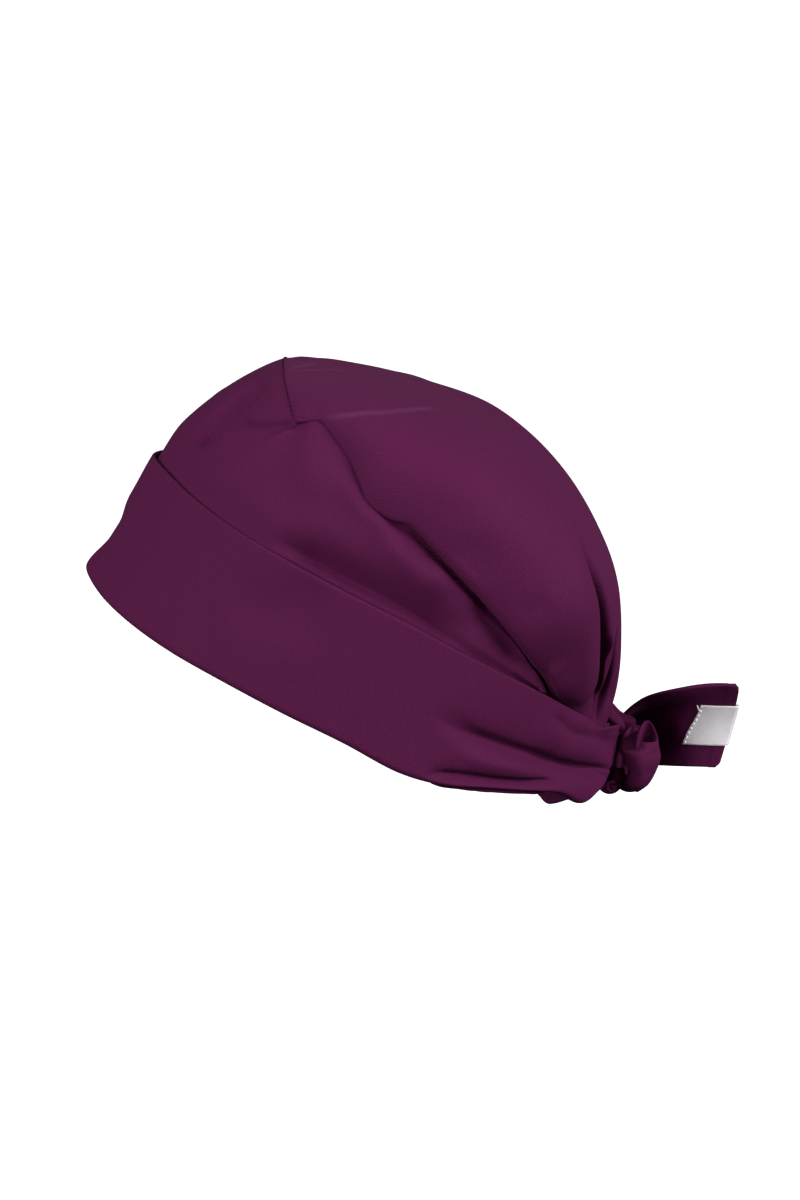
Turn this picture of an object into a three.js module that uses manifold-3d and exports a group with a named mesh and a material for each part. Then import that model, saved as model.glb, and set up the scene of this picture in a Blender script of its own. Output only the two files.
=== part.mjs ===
// A soft scrub cap, tied at the nape, in the shape that a head gives it.
// Millimetres, +Z up, +Y towards the back of the head, +X towards the wearer's left.
// The cap is drawn level, with its rim near z = 0, and then leaned back as it is worn.

import * as THREE from 'three';
import { mergeVertices } from 'three/addons/utils/BufferGeometryUtils.js';
import Module from 'manifold-3d';

const wasm = await Module();
wasm.setup();

// Driving dimensions
const WORN_TILT = 28;          // degrees that the rim leans back
const BAND_CLOTH = 1.4;        // thickness of the turned-up band
const PANEL_CLOTH = 1.2;       // thickness of the front and back panels
const TIE_CLOTH = 1.6;         // two plies sewn together
const LABEL_CLOTH = 1.0;
const GAP = 0.5;               // between plies that lie on each other
const STATION_RUN = 25;        // rim length from one band section to the next
const BAND_WIDTH = 52;

// Colours
const PLUM = 0x5b2349;
const DARK_PLUM = 0x4a1a3a;
const LABEL_GREY = 0xb8b5ba;

const radians = THREE.MathUtils.degToRad;
const clamp = THREE.MathUtils.clamp;
const smooth = THREE.MathUtils.smoothstep;

// A table is a set of named columns, with one row for each section.
function table(names, rows) {
  const columns = {};
  names.split(' ').forEach((name, k) => { columns[name] = rows.map((row) => row[k]); });
  return columns;
}

// The half that is listed runs from the mid-line at the front to the wearer's left. The other
// half is its mirror image, at negative stations.
function bothSides(names, rows) {
  const odd = names.split(' ').map((name) => name === 'at' || name.endsWith('X'));
  const beside = rows.filter(([at]) => at > 0).reverse();
  const mirrored = beside.map((row) => row.map((value, k) => (odd[k] ? -value : value)));
  return table(names, [...mirrored, ...rows]);
}

// The value of one column at a station, on a smooth curve through the rows.
function along(columns, name, station) {
  const at = columns.at;
  const value = columns[name];
  const last = at.length - 1;
  let k = 0;
  while (k < last - 1 && station > at[k + 1]) k += 1;
  const slope = (i) => {
    const lower = Math.max(i - 1, 0);
    const upper = Math.min(i + 1, last);
    return (value[upper] - value[lower]) / (at[upper] - at[lower]);
  };
  const run = at[k + 1] - at[k];
  const t = clamp((station - at[k]) / run, 0, 1);
  const rise = t * t * (3 - 2 * t);
  const bend = slope(k) * t * (1 - t) ** 2 - slope(k + 1) * t * t * (1 - t);
  return value[k] + (value[k + 1] - value[k]) * rise + bend * run;
}

const pointOf = (columns, name, station) => new THREE.Vector3(
  along(columns, `${name}X`, station),
  along(columns, `${name}Y`, station),
  along(columns, `${name}Z`, station),
);

// A bell of height 1 and half-width 1.
const bell = (x) => Math.exp(-x * x);

// Height that a list of folds gives a point. A fold is a straight line on the cloth, in station
// and height, with a width in mm; a negative height is a valley.
function foldHeight(folds, station, height, acrossMm) {
  let sum = 0;
  for (const [fromAt, fromUp, toAt, toUp, width, depth] of folds) {
    const line = new THREE.Vector2((toAt - fromAt) * STATION_RUN, (toUp - fromUp) * acrossMm);
    const here = new THREE.Vector2((station - fromAt) * STATION_RUN, (height - fromUp) * acrossMm);
    const t = clamp(here.dot(line) / line.lengthSq(), 0, 1);
    const away = here.sub(line.multiplyScalar(t)).length();
    sum += depth * bell(away / width);
  }
  return sum;
}

// Outward normal of a surface of (u, v), where u runs to the left and v runs up or back.
function normalOf(surface, u, v) {
  const step = 0.01;
  const du = surface(u + step, v).sub(surface(u - step, v));
  const dv = surface(u, v + step).sub(surface(u, v - step));
  return du.cross(dv).normalize();
}

function steps(from, to, count) {
  return Array.from({ length: count + 1 }, (_, k) => from + ((to - from) * k) / count);
}

function geometryOf(points, faces) {
  const geometry = new THREE.BufferGeometry();
  const places = points.flatMap((p) => [p.x, p.y, p.z]);
  geometry.setAttribute('position', new THREE.Float32BufferAttribute(places, 3));
  geometry.setIndex(faces.flat());
  return geometry;
}

// A cloth wall between two faces over the same grid, closed round its border.
function clothWall(outer, inner, columns, rows) {
  const nu = columns.length;
  const nv = rows.length;
  const grid = (surface) => rows.flatMap((v) => columns.map((u) => surface(u, v)));
  const points = [...grid(outer), ...grid(inner)];
  const back = nu * nv;
  const faces = [];
  const quad = (a, b, c, d) => faces.push([a, b, c], [a, c, d]);
  for (let j = 0; j < nv - 1; j += 1) {
    for (let i = 0; i < nu - 1; i += 1) {
      const a = j * nu + i;
      quad(a, a + 1, a + 1 + nu, a + nu);
      quad(back + a, back + a + nu, back + a + 1 + nu, back + a + 1);
    }
  }
  const border = [
    ...columns.slice(1).map((_, i) => [i, i + 1]),
    ...rows.slice(1).map((_, j) => [j * nu + nu - 1, (j + 1) * nu + nu - 1]),
    ...columns.slice(1).map((_, i) => [(nv - 1) * nu + i + 1, (nv - 1) * nu + i]),
    ...rows.slice(1).map((_, j) => [(j + 1) * nu, j * nu]),
  ];
  for (const [a, b] of border) quad(b, a, back + a, back + b);
  return geometryOf(points, faces);
}

// Sections of the turned-up band, from the front to the knot: its rim and its upper edge.
const BAND = bothSides('at rimX rimY rimZ topX topY topZ', [
  [0, 0, -112, 0.8, 0, -108.2, 52.3],
  [1, 24, -104.2, -0.6, 26, -101, 52.9],
  [2, 45, -90.8, -0.6, 46, -88.4, 52.6],
  [3, 61, -72.5, 0, 62, -71, 52.6],
  [4, 71, -50, 0.8, 71.5, -50, 53],
  [5, 76.5, -26, 1.6, 76.5, -26, 53.6],
  [6, 78, -1, 2.6, 77, -1, 54],
  [7, 77, 23, 2.6, 74, 19, 53.2],
  [8, 73, 43, 5.4, 68, 38, 52.2],
  [9, 64, 61.5, 11.4, 58.5, 57, 50.7],
  [10, 50, 82, 16.6, 44, 73, 47.8],
  [10.5, 39, 93, 17, 35.5, 80.5, 46.2],
  [11, 29, 98.8, 21.5, 27, 87, 44.6],
  [12, 10, 102.5, 27.6, 10, 96.5, 43.5],
]);
const BAND_END = 12;

// Folds of the band, which gather it into the knot.
const BAND_FOLDS = [
  [6.9, 0.42, 8.6, 0.42, 9, -1.2],
  [8.4, 0.42, 11.6, 0.40, 6, -4.6],
  [8.0, 0.10, 9.6, 0.13, 3.2, -3.2],
  [9.6, 0.13, 11.6, 0.34, 3.2, -3.4],
  [9.6, 0.74, 11.4, 0.72, 7, 2.2],
  [2.5, 0.55, 4.5, 0.85, 12, -1.4],
  [0, 0.3, 0.6, 0.3, 13, -2],
];

const BAND_MIDDLE_Y = 10;      // the folds rise straight away from this point on the mid-line
const RIM_FADE = 0.08;         // share of the width over which they fade out at the rim
const TOP_FADE = 0.12;         // and at the upper edge

function bandFace(station, height) {
  const rim = pointOf(BAND, 'rim', station);
  const top = pointOf(BAND, 'top', station);
  const away = new THREE.Vector3(rim.x + top.x, rim.y + top.y - 2 * BAND_MIDDLE_Y, 0).normalize();
  const fade = smooth(height, 0, RIM_FADE) * smooth(1 - height, 0, TOP_FADE);
  const folds = foldHeight(BAND_FOLDS, Math.abs(station), height, BAND_WIDTH);
  return rim.lerp(top, height).addScaledVector(away, folds * fade);
}

const RIM_TURN = BAND_CLOTH + GAP + PANEL_CLOTH / 2;   // radius of the fold at the rim
const BAND_ROWS = 8;
const RETURN_ROWS = 3;         // of these, how many the cloth goes back up inside

const bandWidthAt = (station) => pointOf(BAND, 'top', station).distanceTo(pointOf(BAND, 'rim', station));

// The band in section, from its upper edge down the outside, round the rim and up inside.
// Each row gives how far in and how far up the two faces of the cloth lie.
function bandSection(station) {
  const width = bandWidthAt(station);
  const turn = RIM_TURN;
  const inside = turn - BAND_CLOTH;
  const rows = steps(1, 0, BAND_ROWS).map((share) => {
    const up = turn + (width - turn) * share;
    return { outer: [0, up], inner: [-BAND_CLOTH, up] };
  });
  for (const angle of [-45, -90, -135, -180].map(radians)) {
    rows.push({
      outer: [-turn + turn * Math.cos(angle), turn + turn * Math.sin(angle)],
      inner: [-turn + inside * Math.cos(angle), turn + inside * Math.sin(angle)],
    });
  }
  for (const share of steps(0, RETURN_ROWS / BAND_ROWS, RETURN_ROWS).slice(1)) {
    const up = turn + (width - turn) * share;
    rows.push({ outer: [-2 * turn, up], inner: [-2 * turn + BAND_CLOTH, up] });
  }
  return rows;
}

function bandPoint(side, station, row) {
  const section = bandSection(station);
  const [inward, up] = section[row][side];
  const height = up / bandWidthAt(station);
  return bandFace(station, height).addScaledVector(normalOf(bandFace, station, height), inward);
}

const BAND_STATIONS = steps(-BAND_END, BAND_END, 48);

function turnedUpBand() {
  const rows = bandSection(0).map((_, row) => row).reverse();
  return clothWall(
    (station, row) => bandPoint('outer', station, row),
    (station, row) => bandPoint('inner', station, row),
    BAND_STATIONS,
    rows,
  );
}

// The edge of the back panel where it meets the front panel, behind the corner of its top seam.
const SEAM = bothSides('at edgeX edgeY edgeZ', [
  [2, 47, -71, 95.5],
  [2.5, 49.5, -63.2, 100.3],
  [3, 55, -55.5, 98.9],
  [3.5, 60, -48.3, 96],
  [4, 64, -41.4, 91],
  [4.5, 67, -34.5, 85.6],
  [5, 69, -24.5, 84.4],
  [5.4, 70, -16.5, 85.8],
  [6, 71, -2.5, 81.5],
  [7, 71.5, 18, 73],
  [8, 68.5, 38.5, 63.2],
  [9, 57.3, 55.8, 53],
  [9.5, 48, 60.2, 43],
  [10, 40, 67, 38.6],
  [10.5, 33, 75, 36.8],
  [11, 25.6, 84.2, 37.5],
  [12, 8.7, 92, 36],
]);
const SEAM_CORNER = 2;

// Hoops of the back panel, from the top seam to the nape: where the two edges lie on the seam,
// the mid-line point, how far the edges roll under past a half turn, and the fullness that the
// cloth has beyond a plain oval.
const HOOPS = table('at edge midY midZ roll full', [
  [0, 2, -82.1, 106.6, -25, 0],
  [1, 2.6, -66, 113.2, -6, 0.5],
  [2, 3.5, -47, 119.4, 10, 1],
  [3, 4.4, -26, 124.2, 16, 2],
  [4, 5.2, -5, 126, 18, 3],
  [5, 6.1, 16, 123, 20, 3],
  [6, 7, 36.6, 115.6, 20, 3],
  [7, 7.8, 55.3, 104, 20, 3],
  [8, 8.5, 69.5, 91.3, 16, 2.5],
  [9, 9.1, 81.3, 72, 6, 1.5],
  [10, 10, 88.3, 56, -4, 0],
  [11, 11.3, 91.6, 41, -6, 0],
]);
const LAST_HOOP = 11;

function backOval(turn, hoop) {
  const at = (name) => along(HOOPS, name, hoop);
  const roll = radians(at('roll'));
  const edge = hoop <= 0 ? pointOf(SEAM, 'edge', SEAM_CORNER) : pointOf(SEAM, 'edge', at('edge'));
  const middle = new THREE.Vector3(0, at('midY'), at('midZ'));
  const rise = middle.clone().sub(edge).setX(0).divideScalar(1 + Math.sin(roll));
  const angle = turn * (Math.PI / 2 + roll);
  const full = 1 + (at('full') * Math.sin(2 * angle) ** 2) / rise.length();
  const foot = middle.sub(rise);
  return foot
    .addScaledVector(rise, Math.cos(angle) * full)
    .setX((edge.x / Math.cos(roll)) * Math.sin(angle) * full);
}

// Pleats at the top seam and gathers at the nape: where they start and end round the hoops (as a
// share of half a hoop) and along them, their width in mm and their height.
const BACK_FOLDS = [
  [0.95, 0, 0.62, 3.4, 4.5, 1.3],
  [0.22, 0, 0.12, 3, 4.5, 1.1],
  [0.6, 6.2, 0.36, 8.2, 6, -2],
  [0.36, 8.2, 0.36, 10.6, 5, -5],
  [0.16, 8.8, 0.28, 10.8, 4, -2.4],
  [0.24, 9, 0.24, 10, 6, -0.8],
  [0.62, 8, 0.6, 10.6, 7, -1.6],
  [0.72, 4.8, 0.62, 6, 10, -1.2],
];
const HOOP_RUN = 24;           // mid-line length from one hoop to the next
const HALF_HOOP = 80;          // cloth from the mid-line to the seam

function backFold(turn, hoop) {
  let sum = 0;
  for (const [fromTurn, fromHoop, toTurn, toHoop, width, depth] of BACK_FOLDS) {
    const line = new THREE.Vector2((toTurn - fromTurn) * HALF_HOOP, (toHoop - fromHoop) * HOOP_RUN);
    const round = (Math.abs(turn) - fromTurn) * HALF_HOOP;
    const here = new THREE.Vector2(round, (hoop - fromHoop) * HOOP_RUN);
    const t = clamp(here.dot(line) / line.lengthSq(), 0, 1);
    sum += depth * bell(here.sub(line.multiplyScalar(t)).length() / width);
  }
  const ends = smooth(hoop, 0, 0.35) * smooth(LAST_HOOP - hoop, 0, 1);
  return sum * ends * smooth(1 - Math.abs(turn), 0, 0.12);
}

const backFace = (turn, hoop) => backOval(turn, hoop)
  .addScaledVector(normalOf(backOval, turn, hoop), backFold(turn, hoop));

function backPanel() {
  const inner = (turn, hoop) => backFace(turn, hoop)
    .addScaledVector(normalOf(backFace, turn, hoop), -PANEL_CLOTH);
  return clothWall(backFace, inner, steps(-1, 1, 42), steps(0, LAST_HOOP, 22));
}

// The front panel runs up inside the band and on to the edge of the back panel.
const FRONT_END = 9;           // the last station before it passes behind the band
const FRONT_FOLDS = [
  [1.55, 0.05, 1.3, 0.5, 9, -2.0],
  [1.3, 0.5, 0.5, 0.95, 7, -2.4],
  [0, 0.5, 0, 0.9, 18, 3],
  [1.72, 0.78, 2.05, 0.93, 2.6, -2.2],
  [2.9, 0.55, 3.6, 0.7, 13, 2.4],
  [4.1, 0.15, 5.1, 0.55, 11, -3.4],
  [6.6, 0.2, 7.6, 0.3, 12, 1.4],
];

const seamPoint = (station) => {
  const share = station / SEAM_CORNER;
  return Math.abs(share) <= 1 ? backOval(share, 0) : pointOf(SEAM, 'edge', station);
};

const RIB_PULL = 0.85;         // how far each rib keeps its direction at its two ends

// Above the band each rib is an arc that starts along the band and ends on the seam.
function frontFace(station, height) {
  if (height <= 0) return bandFace(station, 1 + height * (1 - RIM_TURN / bandWidthAt(station)));
  const from = bandFace(station, 1);
  const to = seamPoint(station);
  const chord = to.clone().sub(from);
  const start = from.clone().sub(bandFace(station, 0)).normalize();
  const straight = chord.clone().normalize();
  const end = straight.clone().multiplyScalar(2 * straight.dot(start)).sub(start);
  const pull = RIB_PULL * chord.length() * height * (1 - height);
  const folds = foldHeight(FRONT_FOLDS, Math.abs(station), height, chord.length());
  const leftward = new THREE.Vector3(-from.y, from.x, 0).normalize();
  const outward = leftward.cross(straight);
  return from.addScaledVector(chord, height * height * (3 - 2 * height))
    .addScaledVector(start, pull * (1 - height))
    .addScaledVector(end, -pull * height)
    .addScaledVector(outward, folds * smooth(height, 0, 0.1) * smooth(1 - height, 0, 0.08));
}

const TUCK = 2.5;              // seam allowance, turned in under the back panel
const TUCK_LEAN = radians(50);
const SEAM_LINE = 0.985;       // height at which the tuck turns in
const CORNER_RUN = 0.55;       // stations on each side of the corner where the tuck is narrow
const CORNER_EASE = 0.8;       // how much narrower the tuck is there, and how far it lies in, mm
const SHALLOW_FROM = 7;        // from here back the panel reaches less far down inside the band
const SHALLOW_TO = 8.5;
const SHALLOW_BY = 0.65;

function frontPanel() {
  const inset = BAND_CLOTH + GAP;
  const layer = (depth) => (station, share) => {
    const shallow = 1 - SHALLOW_BY * smooth(Math.abs(station), SHALLOW_FROM, SHALLOW_TO);
    const height = share < 0 ? share * shallow : share;
    const on = Math.min(height, SEAM_LINE);
    const normal = normalOf(frontFace, station, on);
    const corner = height > 0.5 ? bell((Math.abs(station) - SEAM_CORNER - 0.15) / CORNER_RUN) : 0;
    const point = frontFace(station, on).addScaledVector(normal, -depth - CORNER_EASE * corner);
    if (height <= SEAM_LINE) return point;
    const up = frontFace(station, on).sub(frontFace(station, on - 0.02)).normalize();
    const reach = TUCK * (1 - CORNER_EASE * corner);
    return point
      .addScaledVector(up, reach * Math.cos(TUCK_LEAN))
      .addScaledVector(normal, -reach * Math.sin(TUCK_LEAN));
  };
  const stations = BAND_STATIONS.filter((station) => Math.abs(station) <= FRONT_END);
  const inBand = steps(-1, 0, BAND_ROWS).slice(2);
  const heights = [...inBand, ...steps(0.1, SEAM_LINE, 8), 1];
  return clothWall(layer(inset), layer(inset + PANEL_CLOTH), stations, heights);
}

// A closed body lofted through rings from one end point to the other.
function ringBody(first, rings, last) {
  const count = rings[0].length;
  const points = [first, ...rings.flat(), last];
  const faces = [];
  for (let i = 0; i < count; i += 1) {
    const next = (i + 1) % count;
    faces.push([0, 1 + next, 1 + i]);
    for (let j = 0; j < rings.length - 1; j += 1) {
      const a = 1 + j * count;
      faces.push([a + i, a + next, a + count + next], [a + i, a + count + next, a + count + i]);
    }
    const a = 1 + (rings.length - 1) * count;
    faces.push([a + i, a + next, points.length - 1]);
  }
  return geometryOf(points, faces);
}

function solidOf(geometry) {
  const bare = mergeVertices(geometry.deleteAttribute('normal').deleteAttribute('uv'), 1e-4);
  return new wasm.Manifold(new wasm.Mesh({
    numProp: 3,
    vertProperties: new Float32Array(bare.attributes.position.array),
    triVerts: new Uint32Array(bare.index.array),
  }));
}

function geometryFrom(solid) {
  const mesh = solid.getMesh();
  const geometry = new THREE.BufferGeometry();
  geometry.setAttribute('position', new THREE.BufferAttribute(mesh.vertProperties, 3));
  geometry.setIndex(new THREE.BufferAttribute(mesh.triVerts, 1));
  return geometry;
}

// The knot: a core where the two ends of the band meet, a crumpled foot below it, and the loop
// of cloth that closes it, which stands out behind the core like a small cup, pinched at its foot.
const KNOT_LUMPS = table('at midX midY midZ halfX halfY halfZ', [
  [0, 0, 102, 32, 9.3, 6.6, 13],
  [1, 1, 107.5, 23.5, 7.5, 7.5, 4.5],
]);
const KNOT_MIDDLE = [2, 106, 34];
const KNOT_CLEARANCE = 1.08;   // the knot, grown by this, trims the ties
const KNOT_CUP = table('at midX midY midZ halfX halfY', [
  [0, 5, 115.2, 25.5, 2.6, 2.2],
  [1, 5, 113.2, 29.5, 5.6, 5],
  [2, 5, 111.2, 34.2, 7.2, 6.8],
  [3, 5, 108.8, 39, 7.4, 7],
  [4, 5, 106.7, 43.6, 6.4, 5.4],
  [5, 5, 105.6, 46.4, 5, 4],
  [6, 5, 106, 44.6, 3.8, 2.8],
  [7, 5, 107, 41.5, 2.8, 2],
]);

function tieKnot() {
  const sides = 14;
  const around = steps(0, 2 * Math.PI, sides).slice(0, sides);
  const lump = (row) => {
    const middle = pointOf(KNOT_LUMPS, 'mid', row);
    const at = (latitude, angle, girth) => middle.clone().add(new THREE.Vector3(
      KNOT_LUMPS.halfX[row] * girth * Math.cos(angle),
      KNOT_LUMPS.halfY[row] * girth * Math.sin(angle),
      KNOT_LUMPS.halfZ[row] * Math.sin(radians(latitude)),
    ));
    const rings = steps(-70, 70, 5).map((latitude) => around.map((angle) => (
      at(latitude, angle, Math.cos(radians(latitude)) * (1 + 0.07 * Math.cos(3 * angle))))));
    return solidOf(ringBody(at(-90, 0, 0), rings, at(90, 0, 0)));
  };
  const cupMiddle = (row) => pointOf(KNOT_CUP, 'mid', row);
  const cupRings = KNOT_CUP.at.map((row) => around.map((angle) => cupMiddle(row).add(new THREE.Vector3(
    KNOT_CUP.halfX[row] * Math.cos(angle),
    KNOT_CUP.halfY[row] * Math.sin(angle),
    0,
  ))));
  const foot = cupMiddle(0).add(new THREE.Vector3(0, 0.8, -2.6));
  const cup = ringBody(foot, cupRings, cupMiddle(7).add(new THREE.Vector3(0, 0, -0.8)));
  return lump(0).add(lump(1)).add(solidOf(cup));
}

// The loose ends of the tie: straps listed by their two long edges, from the knot outwards. The
// left one leans over, so that the side that shows faces down.
const TIE_LEFT = table('at highX highY highZ lowX lowY lowZ', [
  [0, 0, 95, 43, -5, 106.5, 28.5],
  [1, 4.5, 101.5, 54.6, -8, 113.5, 31.4],
  [2, 7, 112.1, 66.6, -8, 123.3, 35.8],
  [3, 6, 129, 78.4, -2, 138.3, 45.2],
]);
const TIE_RIGHT = table('at highX highY highZ lowX lowY lowZ', [
  [0, -4, 103, 38, -4, 103, 24],
  [1, -19, 105.8, 34, -13, 102.2, 15],
  [2, -33, 100.4, 28, -25, 97.6, 2.8],
  [2.5, -40, 95, 24.5, -31, 92.2, -4.2],
  [3, -47, 89.4, 21, -36, 87.4, -4],
]);
const TIE_LAST = 3;
const LEFT_CUP = -1.5;
const RIGHT_CUP = 1.5;

const strapFace = (rows, cup) => (length, width) => {
  const low = pointOf(rows, 'low', length);
  const high = pointOf(rows, 'high', length);
  const across = high.clone().sub(low).normalize();
  const ahead = pointOf(rows, 'low', length + 0.02);
  const out = ahead.sub(pointOf(rows, 'low', length - 0.02)).cross(across).normalize();
  return low.lerp(high, width).addScaledVector(out, cup * Math.sin(Math.PI * width));
};

// A tie starts inside the knot and is trimmed clear of it.
function tieEnd(rows, cup, knot) {
  const face = strapFace(rows, cup);
  const back = (length, width) => face(length, width)
    .addScaledVector(normalOf(face, length, width), -TIE_CLOTH);
  const strap = solidOf(clothWall(face, back, steps(0, TIE_LAST, 9), steps(0, 1, 6)));
  const middle = KNOT_MIDDLE;
  const away = middle.map((value) => -value);
  const cleared = knot.translate(away).scale(KNOT_CLEARANCE).translate(middle);
  const pieces = strap.subtract(cleared).decompose();
  pieces.sort((a, b) => b.volume() - a.volume());
  return geometryFrom(pieces[0]);
}

// The label: a blank strip folded over the end hem of the left tie.
const LABEL_FROM = 2.1;
const LABEL_SPAN = [0.25, 0.76];   // share of the width of the tie

function tieLabel() {
  const face = strapFace(TIE_LEFT, LEFT_CUP);
  const reach = steps(LABEL_FROM, TIE_LAST, 3);
  const path = [...reach.map((length) => [length, 1]), ...reach.reverse().map((length) => [length, -1])];
  const lay = (out) => ([length, side], width) => {
    const endward = face(length, width).sub(face(length - 0.05, width)).normalize();
    const off = side > 0 ? GAP + out : -TIE_CLOTH - GAP - out;
    return face(length, width)
      .addScaledVector(normalOf(face, length, width), off)
      .addScaledVector(endward, length === TIE_LAST ? GAP + out : 0);
  };
  return clothWall(lay(LABEL_CLOTH), lay(0), path, steps(...LABEL_SPAN, 3));
}

const cloth = (color, roughness) => new THREE.MeshStandardMaterial({ color, roughness, metalness: 0 });

function piece(name, geometry, material) {
  const mesh = new THREE.Mesh(geometry, material);
  mesh.name = name;
  return mesh;
}

const knot = tieKnot();
const cap = new THREE.Group();
cap.rotation.x = -radians(WORN_TILT);
cap.add(
  piece('front_panel', frontPanel(), cloth(PLUM, 0.75)),
  piece('back_panel', backPanel(), cloth(PLUM, 0.75)),
  piece('turned_up_band', turnedUpBand(), cloth(PLUM, 0.75)),
  piece('tie_knot', geometryFrom(knot), cloth(DARK_PLUM, 0.75)),
  piece('tie_end_left', tieEnd(TIE_LEFT, LEFT_CUP, knot), cloth(DARK_PLUM, 0.75)),
  piece('tie_end_right', tieEnd(TIE_RIGHT, RIGHT_CUP, knot), cloth(DARK_PLUM, 0.75)),
  piece('tie_label', tieLabel(), cloth(LABEL_GREY, 0.85)),
);

const model = new THREE.Group();
model.add(cap);

export default model;
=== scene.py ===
"""A plum scrub cap, tied at the nape, in the shape that it has when it is worn.

The cap is drawn level, in millimetres: x to the wearer's left, y towards the back, z up from the rim. worn()
leans it back the way it is worn and turns millimetres into metres.
"""

import math

import bmesh
import bpy
import numpy as np
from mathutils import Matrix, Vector


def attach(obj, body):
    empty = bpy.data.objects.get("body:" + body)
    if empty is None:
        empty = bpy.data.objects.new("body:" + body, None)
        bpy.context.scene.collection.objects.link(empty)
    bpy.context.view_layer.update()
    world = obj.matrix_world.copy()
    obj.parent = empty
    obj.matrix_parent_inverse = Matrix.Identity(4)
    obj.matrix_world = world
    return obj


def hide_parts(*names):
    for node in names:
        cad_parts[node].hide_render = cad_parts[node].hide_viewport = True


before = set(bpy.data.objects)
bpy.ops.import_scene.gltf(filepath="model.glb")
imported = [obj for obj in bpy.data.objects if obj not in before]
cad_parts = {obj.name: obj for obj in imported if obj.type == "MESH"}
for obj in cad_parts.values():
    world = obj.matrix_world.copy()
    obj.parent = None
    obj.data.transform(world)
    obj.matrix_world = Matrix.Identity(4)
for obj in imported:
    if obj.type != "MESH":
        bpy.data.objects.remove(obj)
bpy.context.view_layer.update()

# The camera looks at the wearer's left side from a little above, through a long lens.
# A millimetre at the middle of the cap is 1 / 0.38 pixels of a picture 1200 pixels high.
CAMERA_AIM = Vector((0, 0.0215, 0.0408))
CAMERA_DISTANCE = 2.0
CAMERA_RISE = math.radians(12)
METRES_TO_A_PIXEL = 0.00038
PICTURE_HEIGHT = 1200
SENSOR = 36

camera = bpy.data.objects.new("camera", bpy.data.cameras.new("camera"))
bpy.context.scene.collection.objects.link(camera)
to_camera = Vector((math.cos(CAMERA_RISE), 0, math.sin(CAMERA_RISE)))
camera.location = CAMERA_AIM + CAMERA_DISTANCE * to_camera
camera.rotation_euler = to_camera.to_track_quat("Z", "Y").to_euler()
camera.data.sensor_width = SENSOR
camera.data.lens = SENSOR * CAMERA_DISTANCE / (METRES_TO_A_PIXEL * PICTURE_HEIGHT)
camera.data.clip_end = 100
bpy.context.scene.camera = camera


# Finishes are made from nodes. Arithmetic on a Shade adds Math nodes to its material, and Finish.node adds
# any other node from its type, its settings and the values or links of its sockets.
class Shade:
    """A value that changes over a surface."""

    def __init__(self, finish, socket):
        self.finish = finish
        self.socket = socket

    def math(self, operation, first, second):
        return self.finish.node("ShaderNodeMath", {"operation": operation}, {0: first, 1: second})

    def __add__(self, other):
        return self.math("ADD", self, other)

    def __sub__(self, other):
        return self.math("SUBTRACT", self, other)

    def __mul__(self, other):
        return self.math("MULTIPLY", self, other)

    __radd__ = __add__
    __rmul__ = __mul__


class Finish:
    """A material and the nodes that feed it."""

    def __init__(self, name, roughness, specular, sheen=0.0, sheen_tint=(1, 1, 1)):
        self.material = bpy.data.materials.new(name)
        self.material.use_nodes = True
        self.tree = self.material.node_tree
        self.shader = self.tree.nodes["Principled BSDF"]
        self.shader.inputs["Roughness"].default_value = roughness
        self.shader.inputs["Specular IOR Level"].default_value = specular
        self.shader.inputs["Sheen Weight"].default_value = sheen
        self.shader.inputs["Sheen Roughness"].default_value = 0.4
        self.shader.inputs["Sheen Tint"].default_value = (*sheen_tint, 1)

    def node(self, kind, settings, sockets, output=0):
        made = self.tree.nodes.new(kind)
        for name, value in settings.items():
            setattr(made, name, value)
        for name, value in sockets.items():
            self.feed(made.inputs[name], value)
        return Shade(self, made.outputs[output])

    def feed(self, socket, value):
        if isinstance(value, Shade):
            self.tree.links.new(value.socket, socket)
        elif isinstance(value, tuple) and len(value) == 3 and socket.type == "RGBA":
            socket.default_value = (*value, 1)
        else:
            socket.default_value = value

    def set(self, name, value):
        self.feed(self.shader.inputs[name], value)

    def mix(self, share, first, second):
        return self.node("ShaderNodeMix", {"data_type": "RGBA"}, {0: share, 6: first, 7: second}, output=2)


# The stage: a white floor far below the cap, white surroundings, and soft light from above, in front and
# behind. Less light comes back up from below, so what faces down is darker.
FLOOR_DEPTH = 0.6
FLOOR_SIZE = 60
LIGHT_FROM_BELOW, LIGHT_FROM_ABOVE = 0.0, 0.25

bpy.ops.mesh.primitive_plane_add(size=FLOOR_SIZE, location=(0, 0, -FLOOR_DEPTH))
floor = bpy.context.object
floor.name = "floor"
floor_finish = Finish("white_floor", roughness=0.9, specular=0.1)
floor_finish.set("Base Color", (0.9, 0.9, 0.9))
floor_finish.set("Emission Color", (1, 1, 1))
floor_finish.set("Emission Strength", 1.0)
floor.data.materials.append(floor_finish.material)
floor.visible_diffuse = False
floor.visible_glossy = False

world = bpy.data.worlds.new("studio")
bpy.context.scene.world = world
world.use_nodes = True
sky = world.node_tree
seen = sky.nodes["Background"]
seen.inputs["Color"].default_value = (1, 1, 1, 1)
lit = sky.nodes.new("ShaderNodeBackground")
coordinate = sky.nodes.new("ShaderNodeTexCoord")
split = sky.nodes.new("ShaderNodeSeparateXYZ")
ramp = sky.nodes.new("ShaderNodeMapRange")
ramp.inputs["From Min"].default_value = -1
ramp.inputs["From Max"].default_value = 1
ramp.inputs["To Min"].default_value = LIGHT_FROM_BELOW
ramp.inputs["To Max"].default_value = LIGHT_FROM_ABOVE
ray = sky.nodes.new("ShaderNodeLightPath")
mix = sky.nodes.new("ShaderNodeMixShader")
sky.links.new(coordinate.outputs["Generated"], split.inputs["Vector"])
sky.links.new(split.outputs["Z"], ramp.inputs["Value"])
sky.links.new(ramp.outputs["Result"], lit.inputs["Strength"])
sky.links.new(ray.outputs["Is Camera Ray"], mix.inputs["Fac"])
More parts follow.
